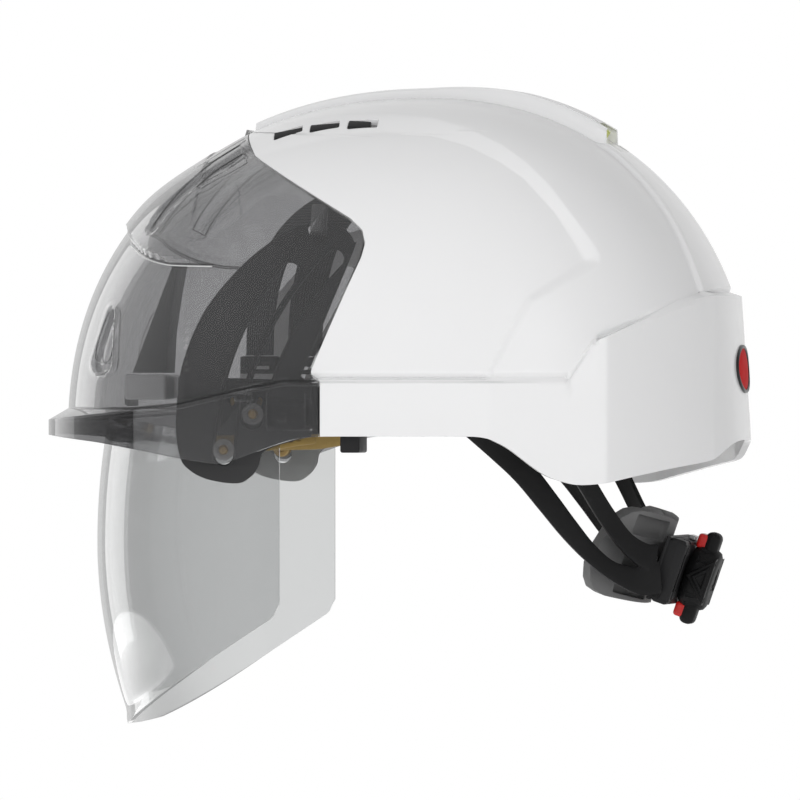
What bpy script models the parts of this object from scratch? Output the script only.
"""Vented safety helmet with a retractable face shield, harness and rear ratchet.

Frame: metres, +Z up, the wearer faces -X, the wearer's left side is -Y.
The origin is where the head sits, on the mid-plane at the height of the side rim.
"""
import math

import bmesh
import bpy
import numpy as np
from mathutils import Matrix, Vector

MM = 0.001

# ---------------------------------------------------------------- driving sizes (mm)
CENTRE_X = 14.0            # widest section of the shell
DOME_FRONT = 158.5         # half lengths of the dome in front of and behind that section
DOME_REAR = 138.7
DOME_HALF_WIDTH = 113.0
DOME_HEIGHT = 147.5
PLAN_POWER = 2.4           # superellipse powers: plan, side profile, cross profile
SIDE_POWER = 2.2
CROSS_POWER = 2.6
BAND_FRONT = 167.0         # the band and peak round the rim
BAND_REAR_TOP = 134.6
BAND_REAR_LOW = 138.7
BAND_REAR_HEIGHT = 61.0
BAND_HALF_WIDTH = 115.5
WHITE_WALL = 3.0
SMOKE_WALL = 2.5
SPLIT_GAP = 0.8
SPLIT_TOP_X = -64.0        # the smoke front and the white rear meet here on the ridge
RIDGE_REAR_X = 95.6
RIDGE_FRONT_X = -112.0

HINGE_X, HINGE_Z = 75.5, -14.8     # axis the face shield swings about
FRONT_TRACK, REAR_TRACK = 140.1, 129.4
FRONT_PIN_DEG, REAR_PIN_DEG = 3.7, 10.9
SLOT_SWEEP_DEG = 33.0
SLOT_HALF = 4.0
PLATE_INNER, PLATE_OUTER = 87.5, 90.0
VISOR_HALF_WIDTH = 86.8
VISOR_WALL = 2.0

RATCHET_X, RATCHET_Z = 130.9, -61.3    # middle of the ratchet wheel
RATCHET_TILT_DEG = 19.0
PITCH_RADIUS = 6.0
TEETH = 12
CASE_HALF = 37.0

# ---------------------------------------------------------------- scene helpers


def clear_scene():
    for item in list(bpy.data.objects):
        bpy.data.objects.remove(item, do_unlink=True)


def new_collection(name):
    collection = bpy.data.collections.new(name)
    bpy.context.scene.collection.children.link(collection)
    return collection


def material(name, colour, roughness, metallic=0.0, alpha=1.0):
    made = bpy.data.materials.new(name)
    made.use_nodes = True
    shader = made.node_tree.nodes["Principled BSDF"]
    shader.inputs["Base Color"].default_value = (*colour, 1.0)
    shader.inputs["Roughness"].default_value = roughness
    shader.inputs["Metallic"].default_value = metallic
    shader.inputs["Alpha"].default_value = alpha
    return made


def add_object(name, mesh, finish, smooth=True):
    if smooth:
        mesh.shade_smooth()
        mesh.set_sharp_from_angle(angle=math.radians(35.0))
    if finish is not None:
        mesh.materials.clear()
        mesh.materials.append(finish)
    made = bpy.data.objects.new(name, mesh)
    PARTS.objects.link(made)
    return made


def as_cutter(tool):
    PARTS.objects.unlink(tool)
    CUTTERS.objects.link(tool)
    tool.hide_render = True
    tool.display_type = "WIRE"
    return tool


def boolean(target, tool, operation="DIFFERENCE"):
    as_cutter(tool)
    step = target.modifiers.new(operation.lower(), "BOOLEAN")
    step.operation = operation
    step.object = tool


def bevel(target, width, segments=2, limit=40.0):
    step = target.modifiers.new("rounded_edges", "BEVEL")
    step.width = width * MM
    step.segments = segments
    step.limit_method = "ANGLE"
    step.angle_limit = math.radians(limit)


def solidify(target, thickness):
    step = target.modifiers.new("wall", "SOLIDIFY")
    step.thickness = thickness * MM
    step.offset = -1.0


def mirror_across_middle(target):
    step = target.modifiers.new("other_side", "MIRROR")
    step.use_axis = (False, True, False)
    step.merge_threshold = 0.0001


def grid_mesh(name, columns, rows, place, outward=None):
    """A grid of columns x rows cells whose points go to place(column, row), in mm.

    outward(point) gives the side that the faces should look to.
    """
    mesh = bpy.data.meshes.new(name)
    bm = bmesh.new()
    bmesh.ops.create_grid(bm, x_segments=columns, y_segments=rows, size=1.0)
    for vert in bm.verts:
        column = round((vert.co.x + 1.0) * 0.5 * columns)
        row = round((vert.co.y + 1.0) * 0.5 * rows)
        vert.co = Vector(place(column, row)) * MM
    bmesh.ops.remove_doubles(bm, verts=bm.verts, dist=0.02 * MM)
    bm.normal_update()
    if outward is not None:
        votes = sum(face.normal.dot(outward(face.calc_center_median())) * face.calc_area() for face in bm.faces)
        if votes < 0.0:
            bmesh.ops.reverse_faces(bm, faces=bm.faces)
    bm.to_mesh(mesh)
    bm.free()
    return mesh


def block(name, low, high, finish, round_by=0.0, frame=None):
    """A box between two corners in mm, placed by its location and an optional parent frame."""
    bm = bmesh.new()
    bmesh.ops.create_cube(bm, size=1.0)
    size = [(b - a) * MM for a, b in zip(low, high)]
    bmesh.ops.scale(bm, vec=size, verts=bm.verts)
    mesh = bpy.data.meshes.new(name)
    bm.to_mesh(mesh)
    bm.free()
    made = add_object(name, mesh, finish)
    made.location = [(a + b) * 0.5 * MM for a, b in zip(low, high)]
    made.parent = frame
    if round_by:
        bevel(made, round_by)
    return made


def turned(name, profile, finish, steps=24, axis="Y", frame=None):
    """A solid turned from (radius, height) points in mm, listed from the top down the outside."""
    bm = bmesh.new()
    points = [bm.verts.new((radius * MM, 0.0, height * MM)) for radius, height in profile]
    for first, second in zip(points, points[1:]):
        bm.edges.new((first, second))
    mesh = bpy.data.meshes.new(name)
    bm.to_mesh(mesh)
    bm.free()
    made = add_object(name, mesh, finish, smooth=False)
    step = made.modifiers.new("turn", "SCREW")
    step.steps = steps
    step.render_steps = steps
    step.use_merge_vertices = True
    step.merge_threshold = 0.00001
    made.parent = frame
    if axis == "Y":
        made.rotation_euler = (math.radians(90.0), 0.0, 0.0)
    return made


def flat_outline(name, outlines, thickness, finish, frame=None):
    """A flat piece cut from 2D outlines in mm, inner outlines being holes, centred on its own plane."""
    curve = bpy.data.curves.new(name, "CURVE")
    curve.dimensions = "2D"
    curve.fill_mode = "BOTH"
    curve.extrude = thickness * 0.5 * MM
    for outline in outlines:
        spline = curve.splines.new("POLY")
        spline.points.add(len(outline) - 1)
        for point, (x, y) in zip(spline.points, outline):
            point.co = (x * MM, y * MM, 0.0, 1.0)
        spline.use_cyclic_u = True
    made = bpy.data.objects.new(name, curve)
    PARTS.objects.link(made)
    if finish is not None:
        curve.materials.append(finish)
    made.parent = frame
    return made


def to_mesh_object(source, finish):
    """The same piece as a closed mesh, so that it can be cut."""
    bpy.context.view_layer.update()
    evaluated = source.evaluated_get(bpy.context.evaluated_depsgraph_get())
    mesh = bpy.data.meshes.new_from_object(evaluated)
    bm = bmesh.new()
    bm.from_mesh(mesh)
    bmesh.ops.remove_doubles(bm, verts=bm.verts, dist=0.001 * MM)
    bm.to_mesh(mesh)
    bm.free()
    name = source.name
    parent = source.parent
    matrix = source.matrix_basis.copy()
    bpy.data.objects.remove(source, do_unlink=True)
    made = add_object(name, mesh, finish)
    made.parent = parent
    made.matrix_basis = matrix
    return made


# ---------------------------------------------------------------- geometry rules


def along(points, x):
    """Straight-line interpolation through (x, value) points."""
    return float(np.interp(x, [p[0] for p in points], [p[1] for p in points]))


def smooth_path(points, count):
    """A Catmull-Rom curve through the points, sampled evenly in its parameter."""
    values = np.array(points, dtype=float)
    padded = np.vstack([2 * values[0] - values[1], values, 2 * values[-1] - values[-2]])
    spans = len(points) - 1
    result = []
    for index in range(count + 1):
        position = index / count * spans
        span = min(int(position), spans - 1)
        t = position - span
        a, b, c, d = padded[span:span + 4]
        result.append(0.5 * (2 * b + (c - a) * t + (2 * a - 5 * b + 4 * c - d) * t * t
                             + (3 * b - a - 3 * c + d) * t ** 3))
    return result


def signed_power(value, power):
    return math.copysign(abs(value) ** power, value)


def plan_point(angle, front, rear, half_width):
    """A point of the plan outline: angle 0 is the front, pi the rear, on the -Y side."""
    reach = front if math.cos(angle) > 0.0 else rear
    x = CENTRE_X - reach * signed_power(math.cos(angle), 2.0 / PLAN_POWER)
    y = -half_width * abs(math.sin(angle)) ** (2.0 / PLAN_POWER)
    return x, y


def plan_angle(x, front, rear):
    reach = front if x < CENTRE_X else rear
    share = min(abs(x - CENTRE_X) / reach, 1.0) ** (PLAN_POWER * 0.5)
    return math.acos(share if x < CENTRE_X else -share)


def shrink(height, power):
    return max(1.0 - (max(height, 0.0) / DOME_HEIGHT) ** power, 0.0) ** (1.0 / power)


def dome_point(angle, height):
    side = shrink(height, SIDE_POWER)
    x, y = plan_point(angle, DOME_FRONT * side, DOME_REAR * side, DOME_HALF_WIDTH * shrink(height, CROSS_POWER))
    return x, y, height


def dome_top(x):
    reach = DOME_FRONT if x < CENTRE_X else DOME_REAR
    return DOME_HEIGHT * max(1.0 - (abs(x - CENTRE_X) / reach) ** SIDE_POWER, 0.0) ** (1.0 / SIDE_POWER)


# Heights along the shell, read by X on the rim: the lower rim and the band's top edge.
RIM = [(-153, 0.9), (-121, -2.6), (-98, -6.5), (-82, -9.6), (-63, -12.2), (-40, -3.9), (-30, -0.9), (-19.5, 0.0),
       (52, 0.0), (63, -4.8), (79, -17.0), (92, -21.2), (102, -20.3), (146.5, -10.0), (149.5, -1.3), (153, -0.9)]
BAND_TOP = [(-153, 7.0), (-119, 10.0), (-84, 13.0), (-50, 20.5), (-36, 22.9), (88, 22.9), (99.6, 40.6),
            (137, 58.0), (145, 61.0), (153, 61.0)]
SPLIT = [(23.9, -20.0), (27.0, -24.8), (30.0, -23.9), (78.0, -3.4), (84.0, -2.0), (90.0, -3.6), (95.0, -9.0), (123.5, -56.7),
         (132.5, SPLIT_TOP_X)]
BAND_SPLIT_X = -19.5
LEDGE_FRONT_HEIGHT = 12.2
LEDGE_RISE = 1.0
SPLIT_TOP_HEIGHT = dome_top(SPLIT_TOP_X)
SPLIT_TIP_CLEAR = 1.2
BAND_ROWS = 3
SIDE_ROWS = 12
CAP_ROWS = 5


def band_point(angle, share, inset=0.0):
    """A point of the band's outer face: share 0 is the rim, 1 the top edge."""
    x_rim, _ = plan_point(angle, BAND_FRONT, BAND_REAR_LOW, BAND_HALF_WIDTH)
    height = along(RIM, x_rim) * (1.0 - share) + along(BAND_TOP, x_rim) * share
    rear = np.interp(height, [0.0, BAND_REAR_HEIGHT], [BAND_REAR_LOW, BAND_REAR_TOP])
    x, y = plan_point(angle, BAND_FRONT - inset, rear - inset, BAND_HALF_WIDTH - inset)
    return x, y, height


def shell_rows(column_share, white):
    """The heights and angles that one column of a shell passes through, from the rim upwards."""
    side = 1.0 if white else -1.0
    shift = side * SPLIT_GAP * 0.5
    split_angle = plan_angle(BAND_SPLIT_X + shift, BAND_FRONT, BAND_REAR_LOW)

    def spread(angle):
        return angle + column_share * (math.pi - angle) if white else angle * column_share

    angle = spread(split_angle)
    points = [band_point(angle, row / BAND_ROWS) for row in range(BAND_ROWS + 1)]
    x_rim = band_point(angle, 0.0)[0]
    base = max(along(BAND_TOP, x_rim) + LEDGE_RISE, LEDGE_FRONT_HEIGHT)
    turn = math.asin((SPLIT_TOP_HEIGHT - base) / (DOME_HEIGHT - base))
    total = SIDE_ROWS + (CAP_ROWS if white else 0)
    for row in range(total + 1):
        if row <= SIDE_ROWS:
            phase = turn * row / SIDE_ROWS
        else:
            phase = turn + (math.pi / 2 - turn) * (row - SIDE_ROWS) / CAP_ROWS
        height = base + (DOME_HEIGHT - base) * math.sin(phase)
        if row == SIDE_ROWS and not white:
            height -= SPLIT_TIP_CLEAR
        if row < SIDE_ROWS:
            x_split = along(SPLIT, height) + shift
            reach = shrink(height, SIDE_POWER)
            limit = plan_angle(x_split, DOME_FRONT * reach, DOME_REAR * reach)
        else:
            limit = 0.0
        points.append(dome_point(spread(limit), height))
    return points


def shell_mesh(name, columns, white):
    table = [shell_rows(column / columns, white) for column in range(columns + 1)]
    rows = len(table[0]) - 1
    return grid_mesh(name, columns, rows, lambda c, r: table[c][r], outward=lambda p: p - Vector((0.01, 0, 0.0)))


RIDGE_HEIGHT = [(-112, 0.4), (-60, 3.0), (14, 4.1), (54, 7.0), (96, 8.1)]
RIDGE_HALF = [(-112, 9.0), (-60, 15.0), (30, 19.0), (96, 24.0)]
RIDGE_SINK = 1.6


def ridge_mesh(name, x_start, x_end, stations=14):
    """A closed trapezoid bar that follows the crown."""
    section = [(-1.0, 0), (-0.86, 1), (-0.45, 1), (0.0, 1), (0.45, 1), (0.86, 1), (1.0, 0)]

    def point(station, corner):
        x = x_start + (x_end - x_start) * station / stations
        half = along(RIDGE_HALF, x)
        across, raised = section[corner]
        y = across * half
        side_drop = DOME_HEIGHT * (1.0 - shrink_y(y))
        base = dome_top(x) - side_drop
        return x, y, base + (along(RIDGE_HEIGHT, x) if raised else -RIDGE_SINK)

    mesh = grid_mesh(name, stations, len(section) - 1, point, outward=lambda p: Vector((0, 0, 1)))
    bm = bmesh.new()
    bm.from_mesh(mesh)
    border = [edge for edge in bm.edges if edge.is_boundary]
    ends = [[e for e in border if all(abs(v.co.x - end * MM) < 1e-6 for v in e.verts)] for end in (x_start, x_end)]
    long_edges = [e for e in border if e not in ends[0] and e not in ends[1]]
    bmesh.ops.bridge_loops(bm, edges=long_edges)
    bmesh.ops.holes_fill(bm, edges=[e for e in bm.edges if e.is_boundary])
    bmesh.ops.recalc_face_normals(bm, faces=bm.faces)
    bm.to_mesh(mesh)
    bm.free()
    return mesh


def shrink_y(y):
    return max(1.0 - (abs(y) / DOME_HALF_WIDTH) ** CROSS_POWER, 0.0) ** (1.0 / CROSS_POWER)


# ---------------------------------------------------------------- shells


def build_shells():
    white = material("white_abs", (0.9, 0.9, 0.9), 0.25)
    smoke = material("smoke_polycarbonate", (0.2, 0.2, 0.2), 0.06, alpha=0.6)

    rear = add_object("rear_shell", shell_mesh("rear_shell", 16, white=True), white)
    mirror_across_middle(rear)
    solidify(rear, WHITE_WALL)
    boolean(rear, add_object("ridge_bar_rear", ridge_mesh("ridge_bar_rear", SPLIT_TOP_X + 2.4, RIDGE_REAR_X),
                             None, smooth=False), "UNION")
    mouth_base = dome_top(RIDGE_REAR_X) + 1.2
    mouth = block("ridge_mouth", (RIDGE_REAR_X - 22, -20.5, mouth_base), (RIDGE_REAR_X + 9, 20.5, mouth_base + 5.2),
                  None)
    mouth.rotation_euler = (0.0, math.radians(20.0), 0.0)
    boolean(rear, mouth)
    for side in (-1, 1):
        for index in range(3):
            x = -42.5 + 17.0 * index
            y = side * (51.5 + 2.2 * index)
            slot = block(f"vent_{side}_{index}", (x - 6.5, y - 3.0, 118.0), (x + 6.5, y + 3.0, 150.0), None)
            slot.rotation_euler = (math.radians(-30.0 * side), 0.0, 0.0)
            boolean(rear, slot)

    front = add_object("front_shell", shell_mesh("front_shell", 14, white=False), smoke)
    mirror_across_middle(front)
    solidify(front, SMOKE_WALL)
    boolean(front, add_object("ridge_bar_front", ridge_mesh("ridge_bar_front", RIDGE_FRONT_X, SPLIT_TOP_X - 1.0),
                              None, smooth=False), "UNION")


def build_shell_trim():
    green = material("tab_green", (0.62, 0.68, 0.05), 0.4)
    red = material("badge_red", (0.7, 0.02, 0.02), 0.35)
    smoke = material("pocket_smoke", (0.12, 0.12, 0.12), 0.15, alpha=0.8)
    tab_top = dome_top(RIDGE_REAR_X) + 7.0
    tab = block("ridge_vent_tab", (RIDGE_REAR_X - 12.0, -6.0, tab_top - 3.1), (RIDGE_REAR_X - 6.0, 6.0, tab_top),
                green)
    tab.rotation_euler = (0.0, math.radians(20.0), 0.0)

    def badge_point(column, row):
        a, b = column / 4 - 1.0, row / 4 - 1.0
        y = 20.0 * a * math.sqrt(1.0 - b * b / 2.0)
        z = 29.2 + 10.25 * b * math.sqrt(1.0 - a * a / 2.0)
        rear = np.interp(z, [0.0, BAND_REAR_HEIGHT], [BAND_REAR_LOW, BAND_REAR_TOP])
        drop = (1.0 - (abs(y) / BAND_HALF_WIDTH) ** PLAN_POWER) ** (1.0 / PLAN_POWER)
        return CENTRE_X + rear * drop + 1.3, y, z

    badge = add_object("rear_badge", grid_mesh("rear_badge", 8, 8, badge_point, lambda p: Vector((1, 0, 0))), red)
    solidify(badge, 0.9)

    for side, label in ((-1, "left"), (1, "right")):
        outer = 107.6 * side
        inner = 96.5 * side
        low_y, high_y = min(outer, inner), max(outer, inner)
        pocket = block(f"slot_pocket_{label}", (-43.6, low_y, 2.6), (-24.2, high_y, 16.4), smoke)
        room = block(f"slot_room_{label}", (-41.4, low_y + 2.2, 1.0), (-26.4, high_y - 2.2, 14.2), None)
        boolean(pocket, room)


# ---------------------------------------------------------------- face shield


def on_track(radius, degrees):
    angle = math.radians(degrees)
    return HINGE_X - radius * math.cos(angle), HINGE_Z + radius * math.sin(angle)


def track_slot(radius, start_deg, end_deg, half, steps=14, cap=5):
    """An arc slot with round ends, as an outline round the hinge."""
    outline = []
    for index in range(steps + 1):
        outline.append(on_track(radius + half, start_deg + (end_deg - start_deg) * index / steps))
    for end, sign in ((end_deg, 1.0), (start_deg, -1.0)):
        cx, cz = on_track(radius, end)
        away = math.radians(end)
        out = Vector((-math.cos(away), math.sin(away)))
        forward = Vector((math.sin(away), math.cos(away))) * sign
        start = out if sign > 0 else -out
        for index in range(1, cap):
            turn = math.pi * index / cap
            step = start * math.cos(turn) + forward * math.sin(turn)
            outline.append((cx + step.x * half, cz + step.y * half))
        if sign > 0:
            for index in range(steps + 1):
                outline.append(on_track(radius - half, end_deg + (start_deg - end_deg) * index / steps))
    return outline


PLATE_OUTLINE = [(-85.4, 3.0), (-84.7, 16.0), (-82.0, 33.0), (-72.3, 55.0), (-55.2, 75.0), (-38.4, 87.5),
                 (-28.5, 91.5), (-27.0, 85.5), (-19.5, 85.5), (-18.5, 91.5), (-12.0, 89.5), (-8.0, 84.0),
                 (-9.0, 78.0), (-31.0, 26.0), (-26.5, 22.0), (-26.5, 0.0), (-45.9, -5.7), (-49.4, -13.0),
                 (-53.0, -17.5), (-59.1, -20.3), (-72.3, -18.3), (-80.7, -13.5), (-83.8, -8.0)]


def build_tracks():
    dark = material("track_grey", (0.045, 0.045, 0.045), 0.5)
    margin = 1.0
    slots = [track_slot(FRONT_TRACK, FRONT_PIN_DEG - margin, FRONT_PIN_DEG + SLOT_SWEEP_DEG + margin, SLOT_HALF),
             track_slot(REAR_TRACK, REAR_PIN_DEG - margin, REAR_PIN_DEG + SLOT_SWEEP_DEG + margin, SLOT_HALF)]
    middle = (PLATE_INNER + PLATE_OUTER) * 0.5 * MM
    for side, label in ((-1, "left"), (1, "right")):
        plate = flat_outline(f"track_plate_{label}", [PLATE_OUTLINE, *slots], PLATE_OUTER - PLATE_INNER, dark)
        plate.rotation_euler = (math.radians(90.0), 0.0, 0.0)
        plate.location = (0.0, side * middle, 0.0)


def visor_front(z):
    """How far forward the shield reaches on the mid-plane at a height."""
    bow = 0.00175 if z > -46.0 else 0.0025
    return -132.2 + bow * (z + 46.0) ** 2


VISOR_STRAIGHT_X = -68.0
VISOR_REAR_X = -40.7
VISOR_TOP = [(-128, 8.3), (-108, 3.0), (-80, -2.0), (-72, -1.0), (-65, 5.0), (-58, 13.5), (-52, 16.5), (-46, 15.0),
             (-40, 8.0)]
VISOR_LOW = [(-122, -125.0), (-112, -121.5), (-43.5, -76.0), (-40.7, -70.0)]


def visor_plan(share, z, reach=0.0):
    """Points of the shield's plan at a height: share 0 is the mid-plane, 1 the rear edge of one side."""
    front = visor_front(z) - reach
    bend = 0.8
    if share < bend:
        angle = share / bend * math.pi / 2
        x = VISOR_STRAIGHT_X + (front - VISOR_STRAIGHT_X) * math.cos(angle)
        return x, -VISOR_HALF_WIDTH * math.sin(angle)
    t = (share - bend) / (1.0 - bend)
    return VISOR_STRAIGHT_X + (VISOR_REAR_X - VISOR_STRAIGHT_X) * t, -VISOR_HALF_WIDTH


def edge_height(table, share):
    z = -20.0
    for _ in range(6):
        z = along(table, visor_plan(share, z)[0])
    return z


def build_visor():
    clear = material("visor_clear", (0.8, 0.8, 0.8), 0.03, alpha=0.3)
    brass = material("pin_brass", (0.55, 0.42, 0.2), 0.35, 0.6)
    grey = material("washer_grey", (0.4, 0.4, 0.4), 0.3, alpha=0.9)
    columns, rows = 20, 8

    def place(column, row):
        share = column / columns
        top, low = edge_height(VISOR_TOP, share), edge_height(VISOR_LOW, share)
        z = top + (low - top) * row / rows
        lip = 2.2 if row == rows else 0.0
        x, y = visor_plan(share, z, reach=lip * (1.0 - share))
        return x, y, z - lip

    visor = add_object("visor", grid_mesh("visor", columns, rows, place, lambda p: p - Vector((0, 0, p.z))), clear)
    mirror_across_middle(visor)
    solidify(visor, VISOR_WALL)

    for side, label in ((-1, "left"), (1, "right")):
        for pin, radius, degrees in (("front", FRONT_TRACK, FRONT_PIN_DEG), ("rear", REAR_TRACK, REAR_PIN_DEG)):
            x, z = on_track(radius, degrees)
            hole = turned(f"pin_hole_{pin}_{label}", [(0, 100), (2.2, 100), (2.2, 70), (0, 70)], None, steps=16)
            hole.location = (x * MM, 0.0, z * MM)
            hole.rotation_euler = (math.radians(-90.0 * side), 0.0, 0.0)
            boolean(visor, hole)
            profile = [(0, 92.6), (1.7, 92.6), (1.7, 90.1), (3.6, 90.1), (3.6, 87.2), (1.7, 87.2), (1.7, 84.2),
                       (3.6, 84.2), (3.6, 82.6), (0, 82.6)]
            shank = turned(f"visor_pin_{pin}_{label}", profile, brass, steps=20)
            ring = [(2.1, 91.7), (4.8, 91.7), (4.8, 90.5), (2.1, 90.5), (2.1, 91.7)]
            washer = turned(f"pin_washer_{pin}_{label}", ring, grey, steps=20)
            for piece in (shank, washer):
                piece.location = (x * MM, 0.0, z * MM)
                piece.rotation_euler = (math.radians(-90.0 * side), 0.0, 0.0)


# ---------------------------------------------------------------- harness

BAND_CENTRE_X = 2.0
HEADBAND_FRONT = 98.5
HEADBAND_HALF = 81.5


def ring_point(angle, inset):
    """angle 0 looks to the rear (+X), pi to the front, positive towards +Y."""
    x = BAND_CENTRE_X + (HEADBAND_FRONT - inset) * signed_power(math.cos(angle), 2.0 / 2.3)
    y = (HEADBAND_HALF - inset) * signed_power(math.sin(angle), 2.0 / 2.3)
    return x, y


def ring_band(name, start_deg, end_deg, columns, inset, low, high, thickness, finish):
    """A band standing on the head ring between two angles; low and high give heights by X."""
    def place(column, row):
        angle = math.radians(start_deg + (end_deg - start_deg) * column / columns)
        x, y = ring_point(angle, inset)
        return x, y, along(low if row == 0 else high, x)

    mesh = grid_mesh(name, columns, 1, place, lambda p: Vector((p.x, p.y, 0)))
    made = add_object(name, mesh, finish)
    solidify(made, thickness)
    return made


def ribbon(name, stations, thickness, finish, steps=20, inset=0.0):
    """A flat arm through (x, y, z, width) stations, its broad face looking away from the head."""
    path = smooth_path(stations, steps)

    def place(column, row):
        here = path[column]
        before, after = path[max(column - 1, 0)], path[min(column + 1, steps)]
        tangent = Vector(after[:3] - before[:3]).normalized()
        outward = Vector((here[0] - 20.0, here[1] * 1.35, 0.0)).normalized()
        across = tangent.cross(outward).normalized()
        if across.z < 0.0:
            across.negate()
        return Vector(here[:3]) + across * here[3] * (row - 0.5) - outward * inset

    mesh = grid_mesh(name, steps, 1, place, lambda p: Vector((p.x - 0.02, p.y * 1.35, 0)))
    made = add_object(name, mesh, finish)
    solidify(made, thickness)
    return made


LOWER_ARM = [(43, -79.8, 5, 12), (54.8, -77, -6, 12), (64.7, -75.5, -16, 12), (74.2, -73, -28, 12),
             (83.2, -69, -40, 12), (91.1, -64, -50, 12.5), (99.4, -58, -57.5, 13), (108, -51.5, -62, 14),
             (115, -46, -62, 14), (119.3, -41.8, -61, 14)]
UPPER_ARM = [(66, -79.5, 12, 9), (76, -76.5, 4, 9.5), (84, -73.5, -8, 10), (91.5, -68.5, -21, 10.5),
             (98.8, -62, -34, 11), (106.5, -55, -44.5, 12), (113.4, -48.1, -51, 13), (118.3, -43.2, -53, 13)]
STRAP_TOP = 112.0
HANGER_LOW_LEFT, HANGER_LOW_RIGHT = -7.0, 0.6      # lowest point of the front hangers


def build_harness():
    black = material("harness_black", (0.02, 0.02, 0.02), 0.5)
    tan = material("sweatband_tan", (0.45, 0.32, 0.12), 0.8)
    pale = material("spacer_grey", (0.55, 0.55, 0.55), 0.3, alpha=0.8)
    textile = material("webbing_black", (0.025, 0.025, 0.028), 0.85)
    foam = material("pad_foam", (0.12, 0.12, 0.13), 0.9)

    ring_band("headband", 71, 289, 36, 0.0, [(-100, 0.0), (60, 2.0)], [(-100, 26.0), (60, 20.0)], 1.6, black)
    ring_band("sweatband", 104, 256, 30, 2.0, [(-98, -7.5), (-47, -6.5), (-34, -4.4), (-10, -1.7)],
              [(-98, 25.0), (0, 20.0)], 3.0, tan)

    wedge = [(-116.5, 27.2), (-101.0, 27.2), (-100.0, 45.0), (-97.5, 62.0), (-95.2, 74.6), (-98.8, 74.6)]
    bracket = flat_outline("brow_bracket", [wedge], 26.0, black)
    bracket.rotation_euler = (math.radians(90.0), 0.0, 0.0)
    block("brow_spacer", (-117.0, -30.0, 15.8), (-98.9, 30.0, 26.8), pale, round_by=1.0)
    rib = [(-119.6, 13.0), (-117.6, 13.0), (-117.6, 27.0), (-118.6, 27.0)]
    brow_rib = flat_outline("brow_rib", [rib], 30.0, black)
    brow_rib.rotation_euler = (math.radians(90.0), 0.0, 0.0)

    straps = [("crown_strap_cross_left", (-52.0, -69.5), (74.0, 60.0), 0.0),
              ("crown_strap_cross_right", (-52.0, 69.5), (74.0, -60.0), 1.8),
              ("crown_strap_middle", (10.0, -81.5), (10.0, 81.5), 5.4)]
    for name, start, end, lift in straps:
        crown_strap(name, start, end, lift, textile)
        for tip, label in ((start, "front"), (end, "rear")):
            strap_clip(f"{name}_clip_{label}", tip, black)

    def pad_point(column, row):
        a, b = column / 4 - 1.0, row / 4 - 1.0
        x = 10.0 + 30.0 * a * math.sqrt(1.0 - b * b / 2.0)
        y = 30.0 * b * math.sqrt(1.0 - a * a / 2.0)
        fall = 7.0 * ((x - 10.0) ** 2 + y * y) / 900.0
        return x, y, STRAP_TOP - 2.0 - fall

    pad = add_object("crown_pad", grid_mesh("crown_pad", 8, 8, pad_point, lambda p: Vector((0, 0, 1))), foam)
    solidify(pad, 5.0)

    for side, label in ((-1, "left"), (1, "right")):
        front_foot = HANGER_LOW_LEFT if side < 0 else HANGER_LOW_RIGHT
        for place, low_x, high_x, low_z, high_z in (("front", -11.2, -2.8, front_foot, 8.0),
                                                    ("rear", 28.0, 38.0, 9.0, 19.0)):
            outer, inner = 108.6 * side, 83.6 * side
            block(f"hanger_{place}_{label}", (low_x, min(outer, inner), low_z), (high_x, max(outer, inner), high_z),
                  black, round_by=0.8)


def strap_height(share, lift):
    end_height = 35.0
    power = 2.5
    return end_height + (STRAP_TOP + lift - end_height) * max(1.0 - abs(share) ** power, 0.0) ** (1.0 / power)


def crown_strap(name, start, end, lift, finish, width=18.0, columns=26):
    start, end = Vector(start), Vector(end)
    centre = (start + end) * 0.5
    reach = (end - start) * 0.5
    across = Vector((-reach.y, reach.x)).normalized()

    def place(column, row):
        turn = math.pi * (column / columns - 0.5)
        share = signed_power(math.sin(turn), 0.85)
        flat = centre + reach * share + across * width * (row - 0.5)
        return flat.x, flat.y, strap_height(share, lift)

    mesh = grid_mesh(name, columns, 1, place, lambda p: p - Vector((0.01, 0, 0.02)))
    made = add_object(name, mesh, finish)
    solidify(made, 1.1)


def strap_clip(name, tip, finish):
    facing = Vector((tip[0] - BAND_CENTRE_X, tip[1]))
    clip = block(name, (-2.2, -11.0, 27.0), (1.2, 11.0, 34.6), finish, round_by=0.6)
    clip.location = (tip[0] * MM, tip[1] * MM, 30.6 * MM)
    clip.rotation_euler = (0.0, 0.0, math.atan2(facing.y, facing.x))


# ---------------------------------------------------------------- nape adjuster


def ratchet_empty():
    """Local x runs across the head (+Y), local y up the case, local z back along the wheel's axis."""
    tilt = math.radians(RATCHET_TILT_DEG)
    axis = Vector((math.cos(tilt), 0.0, -math.sin(tilt)))
    up = Vector((math.sin(tilt), 0.0, math.cos(tilt)))
    across = Vector((0.0, 1.0, 0.0))
    empty = bpy.data.objects.new("ratchet_frame", None)
    PARTS.objects.link(empty)
    matrix = Matrix((across, up, axis)).transposed().to_4x4()
    matrix.translation = Vector((RATCHET_X, 0.0, RATCHET_Z)) * MM
    empty.matrix_world = matrix
    return empty


RACK_LOW, RACK_HIGH = -12.2, -9.4          # along the wheel's axis
MODULE = 2.0 * PITCH_RADIUS / TEETH
TOOTH_CLEAR = 0.22                          # taken off each tooth flank


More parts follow.
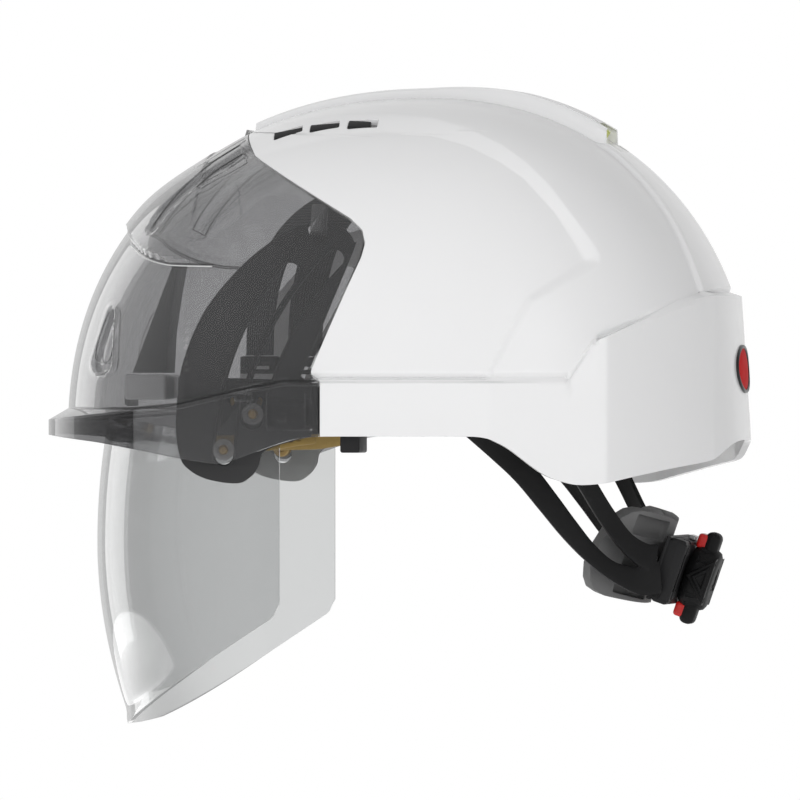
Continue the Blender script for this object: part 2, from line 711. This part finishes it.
def gear_outline():
    """An involute spur wheel with clearance on its flanks."""
    pressure = math.radians(20.0)
    base = PITCH_RADIUS * math.cos(pressure)
    tip = PITCH_RADIUS + 0.75 * MODULE
    root = PITCH_RADIUS - 0.95 * MODULE
    half = math.pi / (2 * TEETH) + (math.tan(pressure) - pressure) - TOOTH_CLEAR / PITCH_RADIUS
    flank = []
    for index in range(4):
        radius = base + (tip - base) * index / 3
        roll = math.sqrt(max((radius / base) ** 2 - 1.0, 0.0))
        flank.append((radius, half - (roll - math.atan(roll))))
    outline = []
    for tooth in range(TEETH):
        centre = 2 * math.pi * tooth / TEETH + math.pi / 2
        shape = [(root, -flank[0][1])] + [(r, -a) for r, a in flank] + [(r, a) for r, a in reversed(flank)]
        shape.append((root, flank[0][1]))
        outline += [(r * math.cos(centre + a), r * math.sin(centre + a)) for r, a in shape]
    return outline


def rack_outline(direction):
    """A straight rack seen along the axis: direction +1 lies above the pinion, -1 below it."""
    pitch = math.pi * MODULE
    addendum, dedendum = 0.6 * MODULE, 1.05 * MODULE
    slope = math.tan(math.radians(20.0))
    inner_end, outer_end = -6.6, 38.2
    back = 12.6
    teeth = 13
    outline = [(outer_end, back), (inner_end, back), (inner_end, PITCH_RADIUS + dedendum)]
    for tooth in range(teeth):
        centre = (tooth - 1.5) * pitch
        half_tip = pitch / 4 - addendum * slope - TOOTH_CLEAR
        half_root = pitch / 4 + dedendum * slope - TOOTH_CLEAR
        for offset, radial in ((-half_root, dedendum), (-half_tip, -addendum), (half_tip, -addendum),
                               (half_root, dedendum)):
            outline.append((centre + offset, PITCH_RADIUS + radial))
    outline.append((outer_end, PITCH_RADIUS + dedendum))
    if direction > 0:
        return outline
    return [(-x, -y) for x, y in outline]


def build_ratchet():
    case_black = material("case_black", (0.03, 0.03, 0.03), 0.45)
    rubber = material("knob_rubber", (0.02, 0.02, 0.022), 0.6)
    red = material("insert_red", (0.65, 0.015, 0.015), 0.35)
    pad_grey = material("nape_grey", (0.07, 0.07, 0.07), 0.7)
    steel = material("clip_grey", (0.35, 0.36, 0.36), 0.3)
    black = material("arm_black", (0.018, 0.018, 0.018), 0.45)
    frame = ratchet_empty()

    for side, label in ((-1, "left"), (1, "right")):
        mirrored = [(x, -side * y, z, width) for x, y, z, width in LOWER_ARM]
        upper = [(x, -side * y, z, width) for x, y, z, width in UPPER_ARM]
        arm = ribbon(f"nape_arm_{label}", mirrored, 2.6, black)
        boolean(arm, ribbon(f"upper_arm_{label}", upper, 1.9, None, inset=0.35), "UNION")

    block("ratchet_front_case", (-CASE_HALF, -14.5, -14.6), (CASE_HALF, 14.5, -12.5), case_black,
          round_by=0.6, frame=frame)
    back = block("ratchet_back_case", (-CASE_HALF, -14.5, -12.2), (CASE_HALF, 14.5, -5.4), case_black,
                 round_by=0.6, frame=frame)
    boolean(back, block("rack_channel", (-CASE_HALF - 2, -12.9, -14.0), (CASE_HALF + 2, 12.9, -9.1), None,
                        frame=frame))
    boolean(back, turned("spindle_bore", [(0, 0), (3.4, 0), (3.4, -12), (0, -12)], None, axis="Z", frame=frame))

    low_rack, high_rack = rack_outline(-1), rack_outline(1)
    for name, outline in (("rack_left", low_rack), ("rack_right", high_rack)):
        rack = flat_outline(name, [outline], RACK_HIGH - RACK_LOW, black, frame=frame)
        rack.location = (0.0, 0.0, (RACK_LOW + RACK_HIGH) * 0.5 * MM)

    wheel = flat_outline("pinion", [gear_outline()], RACK_HIGH - RACK_LOW, case_black, frame=frame)
    wheel.location = (0.0, 0.0, (RACK_LOW + RACK_HIGH) * 0.5 * MM)
    wheel = to_mesh_object(wheel, case_black)
    boolean(wheel, turned("spindle", [(0, -4.6), (3.0, -4.6), (3.0, -11.0), (0, -11.0)], None, axis="Z",
                          frame=frame), "UNION")

    bell = [(0, 7.6), (12.6, 7.6), (13.6, 6.6), (14.2, 2.0), (14.6, -1.5), (13.0, -4.2), (9.0, -4.9), (3.3, -4.9),
            (3.3, -4.3), (0, -4.3)]
    knob = turned("ratchet_knob", bell, rubber, steps=36, axis="Z", frame=frame)
    for sign, label in ((1, "top"), (-1, "bottom")):
        low, high = sorted((sign * 11.0, sign * 20.8))
        lobe = block(f"knob_lobe_{label}", (-6.5, low, -1.9), (6.5, high, 4.8), None, round_by=2.6, frame=frame)
        boolean(knob, lobe, "UNION")
        inner, outer = sorted((sign * 14.9, sign * 18.6))
        block(f"knob_insert_{label}", (-6.0, inner, -4.9), (6.0, outer, -2.2), red, round_by=0.6, frame=frame)
    for sign in (-1, 1):
        triangle = [(sign * 13.4, -7.5), (sign * 13.4, 7.5), (sign * 16.6, 5.4), (sign * 16.6, -5.4)]
        grip = flat_outline(f"knob_grip_{sign}", [triangle], 7.0, None, frame=frame)
        grip.location = (0.0, 0.0, 3.2 * MM)
        boolean(knob, to_mesh_object(grip, None), "UNION")

    block("ratchet_clip", (-7.0, 14.8, -9.0), (7.0, 16.6, -5.8), steel, round_by=0.4, frame=frame)

    def pad_point(column, row):
        share = column / 12 * 2.0 - 1.0
        angle = share * math.radians(62.0)
        x = 56.0 * math.sin(angle)
        depth = -16.4 - 48.0 * (1.0 - math.cos(angle))
        height = (-17.6, 22.5)[row]
        return x, height - 6.0 * abs(share) * (1 if row else -0.6), depth

    def away_from_head(point):
        return Vector((point.x, 0, point.z + 0.07))

    pad = add_object("nape_pad", grid_mesh("nape_pad", 12, 1, pad_point, away_from_head), pad_grey)
    solidify(pad, 7.0)
    pad.parent = frame


clear_scene()
PARTS = new_collection("hard_hat")
CUTTERS = new_collection("cutters")
build_shells()
build_shell_trim()
build_tracks()
build_visor()
build_harness()
build_ratchet()
